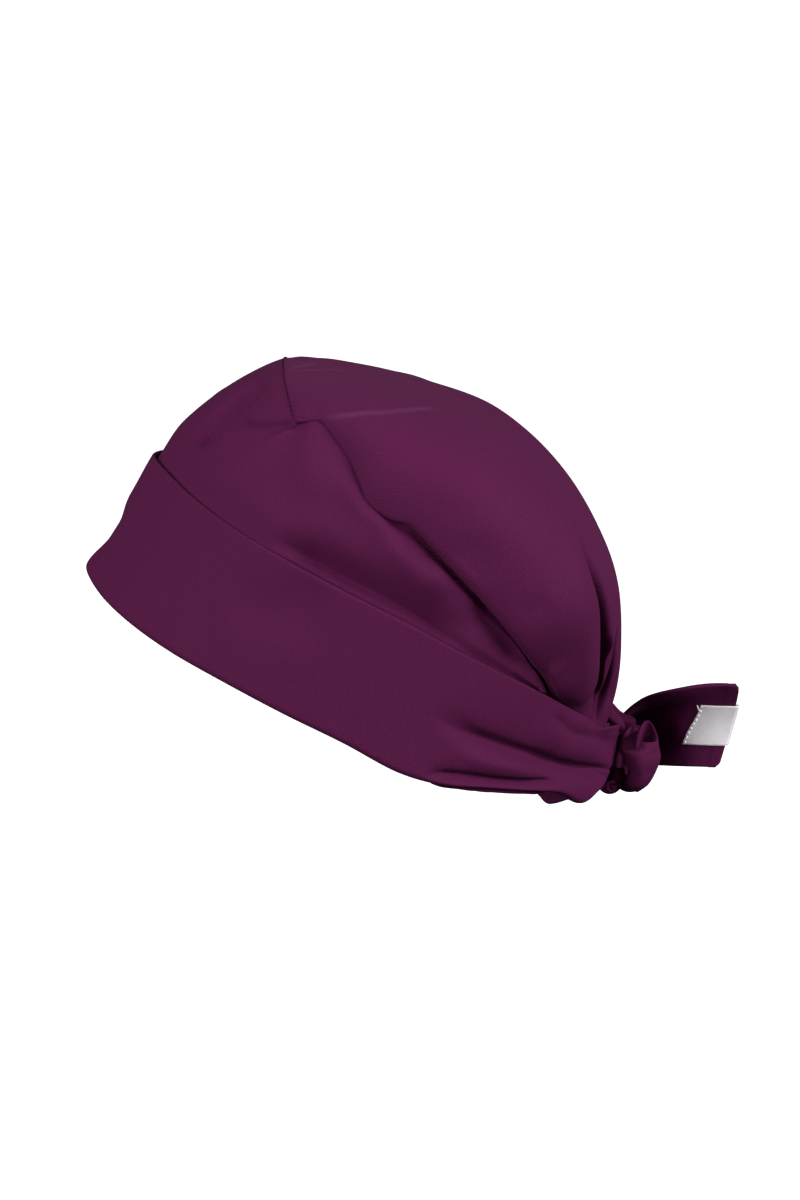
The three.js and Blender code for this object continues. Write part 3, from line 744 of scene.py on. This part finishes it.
def stitches(name, path, normals, length, pitch, radius, material):
    """Stitches of a length and radius in mm along a path of level points, a pitch apart."""
    gone = np.concatenate([[0], np.cumsum(np.linalg.norm(np.diff(path, axis=0), axis=-1))])
    bm = bmesh.new()
    for middle in np.arange(pitch / 2, gone[-1], pitch):
        places = [middle - length / 2, middle, middle + length / 2]
        spot = [np.interp(places, gone, path[:, k]) for k in range(3)]
        back, here, front = worn(np.array(spot).T)
        out = Vector(unit(worn(np.array([np.interp(middle, gone, normals[:, k]) for k in range(3)]))))
        ahead = Vector(front - back)
        across = ahead.cross(out).normalized()
        made = bmesh.ops.create_icosphere(bm, subdivisions=2, radius=0.5)
        for vertex in made["verts"]:
            x, y, z = vertex.co
            vertex.co = Vector(here) + ahead * x + (across * y + out * z) * radius * 2 * MM
    for face in bm.faces:
        face.smooth = True
    mesh = bpy.data.meshes.new(name)
    bm.to_mesh(mesh)
    bm.free()
    piece = bpy.data.objects.new(name, mesh)
    bpy.context.scene.collection.objects.link(piece)
    mesh.materials.append(material)
    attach(piece, "root")
    return piece


across = np.linspace(-SEAM_STITCHED, SEAM_STITCHED, 160)
seam_line = back_oval(across, 0 * across)
above = unit(seam_line - UNDER_SEAM)
top_stitches = stitches(
    "top_seam_stitches", seam_line + above * STITCH_LIFT, above, STITCH_LENGTH, STITCH_PITCH, STITCH_RADIUS,
    thread("dark_plum_thread", THREAD_DARK),
)


# The knot at the nape, tied once from the two ends of the band. Its core is crumpled, one end is wrapped
# over it, and the loop that closes it stands out behind like a small cup of cloth. A heart and two folds
# fill it towards the band's ends. Its tables are plumb, not leaned back.
KNOT_TURN = np.linspace(0, 2 * math.pi, 73)
KNOT_GIRTH = 45
ROLL_PLEATS = 5
ROLL_TWIST = 4
ROLL_ENDS = 6
KNOT_CORE = table("at midX midY midZ halfX halfY lean peak", [
    [0, -9, 102, -33.8, 0, 0, 0, 0],
    [0.6, -9, 103, -32.3, 5, 6, 0, 0],
    [2, -10, 104.5, -26.8, 6, 6.6, 0, 0],
    [3, -11, 105.5, -20.8, 6, 6.6, 0, 0],
    [4, -9, 107, -15.8, 5.4, 6.6, 0, 0],
    [5.4, -9, 109.5, -11.3, 4, 4.4, 0, 0],
    [6, -9, 110.8, -9.3, 0, 0, 0, 0],
])
KNOT_HEART = table("at midX midY midZ halfX halfY lean peak", [
    [0, -1, 99, -31, 0, 0, 0, 0],
    [0.5, -1, 99, -29, 8, 3.6, 0, 0],
    [2, -1, 99.5, -20, 10, 4, 0, 0],
    [3.5, -1, 99, -11, 8, 3.6, 0, 0],
    [4, -1, 98.5, -7, 0, 0, 0, 0],
])
KNOT_CUP = table("at midX midY midZ halfX halfY lean peak", [
    [0, 10, 112, -32, 0, 0, 0, 0],
    [0.3, 10, 111.6, -31.1, 2.2, 1.7, 0, 0],
    [1, 9.8, 112, -28.5, 5.6, 4.4, 0, 0],
    [2, 9.5, 113.6, -23, 8, 5.6, 0.3, 0],
    [3, 9, 113.2, -18, 9.6, 7.3, 0.8, 0.3],
    [4, 9, 112.5, -13.9, 9.8, 7.4, 1.6, 0.6],
    [4.5, 9.5, 114.8, -11.8, 8, 4.9, 2.4, 0.8],
    [5, 9.8, 115.6, -9.4, 6.4, 3.8, 2.8, 1],
    [5.4, 9.8, 115.7, -9.6, 5.4, 3.1, 2.8, 1],
    [6, 9.8, 115.4, -13, 5, 2.9, 2, 0.6],
    [7, 10, 114.7, -17.5, 3.4, 2.4, 0.6, 0],
    [7.6, 10, 114.5, -19, 0, 0, 0, 0],
])
CUP_DIMPLE = (18, 117.2, -23.1)
CUP_DIMPLE_DEPTH = 1.1
CUP_DIMPLE_RADIUS = 2.4
KNOT_ROLLS = {
    "knot_wrap": [[0, -14, 99, -19, 2.2], [1, -15, 101.5, -15, 2.6], [2, -17, 104.5, -13.6, 2.6],
                  [3, -19, 107.5, -15, 2.4], [4, -21, 109, -18, 2]],
    "knot_far_fold": [[0, -12, 93, 3, 3], [1, -10.5, 99, -1.8, 3], [2, -8.5, 105.5, -7.4, 2.8],
                      [3, -9, 112, -9.3, 2.6]],
    "knot_middle_fold": [[0, -6, 92, 1.5, 3], [1, -4.5, 98, -2, 3], [2, -3, 103, -6.4, 2.6],
                         [3, -3, 107, -11, 2.2]],
    "knot_leaf": [[0, 15.5, 111.2, -14.6, 0.8], [1, 15, 111.6, -12, 0.9], [2, 13.4, 112.2, -8.4, 0.8],
                  [3, 12, 113, -6, 0.5]],
    "knot_foot": [[0, 4, 96, -26.8, 1.8], [1, 8, 99.3, -30, 2.3], [2, 8.5, 102.3, -30.5, 2.3],
                  [3, 7, 105, -28, 2], [4, 3, 106, -24, 1.6]],
    "knot_foot_roll": [[0, 2, 102.8, -24.3, 1.8], [1, 5, 104.8, -26.8, 2.6], [2, 5, 107.5, -29.8, 2.8],
                       [3, 4, 111, -30.7, 2.3], [4, 2, 113, -29, 1.5]],
    "knot_foot_curl": [[0, 11, 103.6, -28.4, 0.6], [1, 11.6, 102.2, -27.4, 0.6],
                       [2, 11.6, 100.6, -28.4, 0.6], [3, 11.6, 100.7, -30.4, 0.6],
                       [4, 11.8, 102.3, -31, 0.6], [5, 12, 103.4, -29.8, 0.5], [6, 12, 102.4, -29, 0.4]],
}


def oval_rings(rows, count, wave, waves, twist):
    """Rings of a lofted body, which lean towards its near side, peak at its sides and have soft waves."""
    angle, row = np.meshgrid(KNOT_TURN, np.linspace(rows["at"][0], rows["at"][-1], count))
    girth = 1 + wave * np.cos(waves * angle + twist * row)
    x = along(rows, "halfX", row) * np.cos(angle) * girth
    y = along(rows, "halfY", row) * np.sin(angle) * girth
    z = along(rows, "peak", row) * np.cos(2 * angle) - along(rows, "lean", row) * np.cos(angle)
    return point_of(rows, "mid", row) + np.stack([x, y, z], axis=-1)


def roll_rings(rows, count, wave):
    """Rings of a roll of cloth with round ends and small pleats, round a path."""
    at = np.linspace(rows["at"][0], rows["at"][-1], count)
    middle = point_of(rows, "mid", at)
    ahead = unit(np.gradient(middle, axis=0))
    beside = unit(np.cross(ahead, [1, 0, 0]))
    share = np.linspace(-1, 1, count)
    angle = KNOT_TURN[None, ::2, None]
    radius = (along(rows, "radius", at) * np.sqrt(1 - share**ROLL_ENDS))[:, None, None]
    radius = radius * (1 + wave * np.cos(ROLL_PLEATS * angle + ROLL_TWIST * share[:, None, None]))
    ring = np.cos(angle) * beside[:, None] + np.sin(angle) * np.cross(ahead, beside)[:, None]
    return middle[:, None] + radius * ring


def knot_piece(name, places):
    columns = np.linspace(0, KNOT_GIRTH, places.shape[1])
    piece = cloth_net(name, MM * places, columns, laid_out(places), cap_twill)
    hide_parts("tie_knot")
    return piece


knot_piece("knot_core", oval_rings(KNOT_CORE, count=60, wave=0.13, waves=9, twist=0.4))
knot_piece("knot_heart", oval_rings(KNOT_HEART, count=40, wave=0.08, waves=7, twist=0.3))
cup = oval_rings(KNOT_CUP, count=120, wave=0.035, waves=3, twist=0.5)
dimple = CUP_DIMPLE_DEPTH * np.exp(-np.sum((cup - CUP_DIMPLE) ** 2, axis=-1) / CUP_DIMPLE_RADIUS**2)
knot_piece("knot_cup", cup - outward(cup) * dimple[..., None])
for name, path in KNOT_ROLLS.items():
    knot_piece(name, roll_rings(table("at midX midY midZ radius", path), count=48, wave=0.05))


# The two loose ends of the tie: straps of doubled cloth, 35 mm wide, hemmed across the end. The left one
# stands out behind the knot with its upper edge curled over. The right one hangs below it on the far side.
TIE_LEFT = table("at highX highY highZ lowX lowY lowZ", [
    [0, -14, 96.4, 40.4, -22, 108.2, 25.3],
    [1, -8, 101.7, 54.7, -18, 114.5, 29.5],
    [2, 4, 111.5, 68, -8, 123.3, 35.8],
    [3, 6, 129, 78.4, -2, 138.3, 45.2],
])
TIE_RIGHT = table("at highX highY highZ lowX lowY lowZ", [
    [0, -4, 103, 38, -4, 103, 24],
    [1, -19, 105.8, 34, -13, 102.2, 15],
    [2, -33, 100.4, 28, -25, 97.6, 2.8],
    [2.5, -40, 95, 24.5, -31, 92.2, -4.2],
    [3, -47, 89.4, 21, -36, 87.4, -4],
])
# Both straps start inside the knot and end at the last station of their tables.
TIE_START, TIE_END = 0.35, 3
TIE_LENGTH, TIE_WIDTH = 45, 35
TIE_COLUMNS, TIE_ROWS = 110, 56
TIE_CLOTH = 1.4
LEFT_CUP = -4.5
RIGHT_CUP = 1.5
# The curl of the left strap's upper edge is strongest near the knot, and a gutter runs below it.
TIE_BROW = 4.5
TIE_GUTTER = 3.2
BROW_FROM = 0.7
GUTTER_WIDTH = 0.16
BROW_STATIONS = (1.3, 2.7)
TIE_WAVE = 0.35
WAVE_STATIONS = (0.8, 1.6)
HEM_FROM_END = 0.2
HEM_STEP = 0.35
HEM_RUN = 0.03
END_ROUND = 0.07
LOWER_CORNER, UPPER_CORNER = 0.93, 0.9


def strap(rows, cup, length, width):
    """The face of a strap and its directions out. length runs from the knot, and width from its low edge."""
    low = point_of(rows, "low", length)
    high = point_of(rows, "high", length)
    run = point_of(rows, "low", length + 0.01) - point_of(rows, "low", length - 0.01)
    out = unit(np.cross(run, high - low))
    return low + (high - low) * width[..., None] + out * (cup * np.sin(math.pi * width))[..., None], out


def left_face(length, width, hem_run):
    """The face of the left strap, with its curl, soft waves, hem and corners, and its directions out."""
    corner = smooth(width, UPPER_CORNER, 1) ** 2 + smooth(1 - width, LOWER_CORNER, 1) ** 2
    length = length * (1 - END_ROUND / TIE_END * corner)
    level, out = strap(TIE_LEFT, LEFT_CUP, length, width)
    near = 1 - smooth(length, *BROW_STATIONS)
    gutter = TIE_GUTTER * np.exp(-(((width - BROW_FROM) / GUTTER_WIDTH) ** 2))
    brow = TIE_BROW * smooth(width, BROW_FROM, 1) - gutter
    wave = TIE_WAVE * np.sin(5 * width + 2.4 * length) * smooth(length, *WAVE_STATIONS)
    hem = HEM_STEP * smooth(length, TIE_END - HEM_FROM_END - hem_run, TIE_END - HEM_FROM_END)
    return level + out * (brow * near + wave + hem)[..., None], out


lengths, widths = np.meshgrid(np.linspace(TIE_START, TIE_END, TIE_COLUMNS), np.linspace(0, 1, TIE_ROWS))
across = np.linspace(0, TIE_LENGTH, TIE_COLUMNS)
up = np.linspace(0, TIE_WIDTH, TIE_ROWS)
left_level = left_face(lengths, widths, HEM_RUN)[0]
tie_end_left = cloth_net("tie_end_left_cloth", worn(left_level), across, up, cap_twill, TIE_CLOTH)
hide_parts("tie_end_left")
right_level = strap(TIE_RIGHT, RIGHT_CUP, lengths, widths)[0]
tie_end_right = cloth_net("tie_end_right_cloth", worn(right_level), across, up, cap_twill, TIE_CLOTH)
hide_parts("tie_end_right")


# The label: a blank strip of grey-white satin, folded over the end of the left tie and sewn on with white
# thread along its edge on the knot side, where a loose end of the thread is left.
LABEL_FROM = 2.12
LABEL_SLANT = 0.22
LABEL_SPAN = (0.24, 0.71)
LABEL_LENGTH, LABEL_WIDTH = 36, 17
LABEL_ROWS = 26
FACE_COLUMNS = 34
TURN_COLUMNS = 12
STEP_BACK = 0.04
LABEL_CLOTH = 0.4
LABEL_GAP = 0.15
# Under the label the hem of the strap rises softly, so that the label lies smooth over it.
LABEL_HEM_RUN = 0.6
LABEL_WHITE = (0.80, 0.78, 0.81)
LABEL_GREY = (0.66, 0.64, 0.67)
SATIN_PITCH = 0.0006
THREAD_WHITE = (0.86, 0.84, 0.88)
LABEL_STITCH_COLUMN = 2
LABEL_STITCH_LENGTH = 1.5
LABEL_STITCH_PITCH = 2.1
LABEL_STITCH_RADIUS = 0.45
# The loose end of the thread: the row it leaves from, where it goes, its length and its radius.
THREAD_ROW = 20
THREAD_END = np.array([0.6, -2.6, 2.4])
THREAD_END_LENGTH = 3.6
THREAD_END_RADIUS = 0.4


def satin(name):
    finish = Finish(name, roughness=0.5, specular=0.25, sheen=0.05)
    strip = finish.node("ShaderNodeUVMap", {"uv_map": "cloth"}, {})
    along_strip = finish.node("ShaderNodeSeparateXYZ", {}, {0: strip}, output=0)
    turn = along_strip * (2 * math.pi / SATIN_PITCH)
    ribs = finish.node("ShaderNodeMath", {"operation": "SINE"}, {0: turn})
    place = finish.node("ShaderNodeTexCoord", {}, {}, output="Object")
    cloud = finish.node("ShaderNodeTexNoise", {}, {"Vector": place, "Scale": 300.0, "Detail": 2.0})
    finish.set("Base Color", finish.mix(0.15 * ribs + cloud, LABEL_GREY, LABEL_WHITE))
    bump = finish.node("ShaderNodeBump", {}, {"Strength": 0.3, "Distance": 0.00008, "Height": ribs + cloud})
    finish.set("Normal", bump)
    return finish.material


reach = np.linspace(0, 1, FACE_COLUMNS)
wrap = np.radians(np.linspace(90, -90, TURN_COLUMNS))
path_share = np.concatenate([reach, np.ones(TURN_COLUMNS), reach[::-1]])
path_turn = np.concatenate([np.full(FACE_COLUMNS, math.pi / 2), wrap, np.full(FACE_COLUMNS, -math.pi / 2)])
path_share, label_width = np.meshgrid(path_share, np.linspace(*LABEL_SPAN, LABEL_ROWS))
first = LABEL_FROM + LABEL_SLANT * smooth(label_width, *LABEL_SPAN)
path_length = first + (TIE_END - first) * path_share
face, out = left_face(path_length, label_width, LABEL_HEM_RUN)
ahead = unit(face - left_face(path_length - STEP_BACK, label_width, LABEL_HEM_RUN)[0])
lift = TIE_CLOTH / 2 + LABEL_GAP + LABEL_CLOTH
offset = (out * np.sin(path_turn)[:, None] + ahead * np.cos(path_turn)[:, None]) * lift
level = face - out * TIE_CLOTH / 2 + offset
columns = np.linspace(0, LABEL_LENGTH, level.shape[1])
up = np.linspace(0, LABEL_WIDTH, LABEL_ROWS)
tie_label = cloth_net("label_satin", worn(level), columns, up, satin("label_satin"), LABEL_CLOTH)
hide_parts("tie_label")
label_stitches = stitches(
    "label_stitches", level[:, LABEL_STITCH_COLUMN], out[:, LABEL_STITCH_COLUMN], LABEL_STITCH_LENGTH,
    LABEL_STITCH_PITCH, LABEL_STITCH_RADIUS, thread("white_thread", THREAD_WHITE),
)
start = level[THREAD_ROW, LABEL_STITCH_COLUMN]
loose = np.linspace(start, start + THREAD_END, 5)
loose_out = np.tile(out[THREAD_ROW, LABEL_STITCH_COLUMN], (5, 1))
# A pitch just under the length of the path leaves room for one stitch.
only_one = np.linalg.norm(THREAD_END) - 0.1
loose_thread = stitches(
    "label_thread_end", loose, loose_out, THREAD_END_LENGTH, only_one, THREAD_END_RADIUS,
    thread("white_thread_end", THREAD_WHITE),
)
